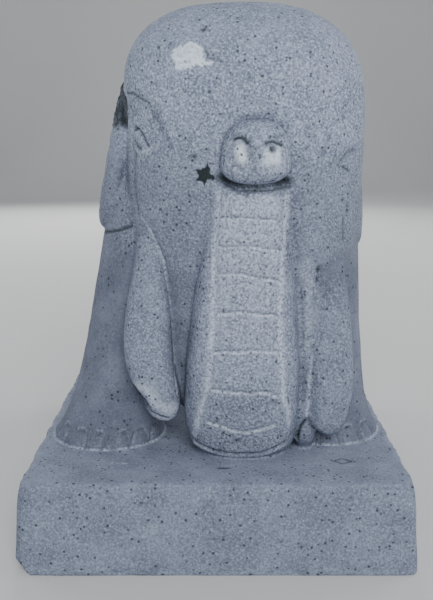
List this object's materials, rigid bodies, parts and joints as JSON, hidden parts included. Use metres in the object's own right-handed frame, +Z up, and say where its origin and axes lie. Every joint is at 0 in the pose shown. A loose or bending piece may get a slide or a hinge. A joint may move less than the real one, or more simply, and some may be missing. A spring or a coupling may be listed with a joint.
{
  "type": "stone elephant sculpture",
  "caption": "Standing elephant carved with its plinth from one block of grey volcanic stone, its trunk curled up in front of its face.",
  "frame": {"origin": "middle of the plinth's underside", "axes": "+Z up; the elephant faces -Y; +X is on the right as one looks at its face"},
  "size_m": [0.218, 0.284, 0.3],
  "materials": {
    "stone": "bluish-grey volcanic stone, dressed with a chisel, matt, with fine dark pores, light grains and whitish dust in the cut lines"
  },
  "bodies": {
    "root": {"stone_elephant": "stone"}
  },
  "joints": []
}
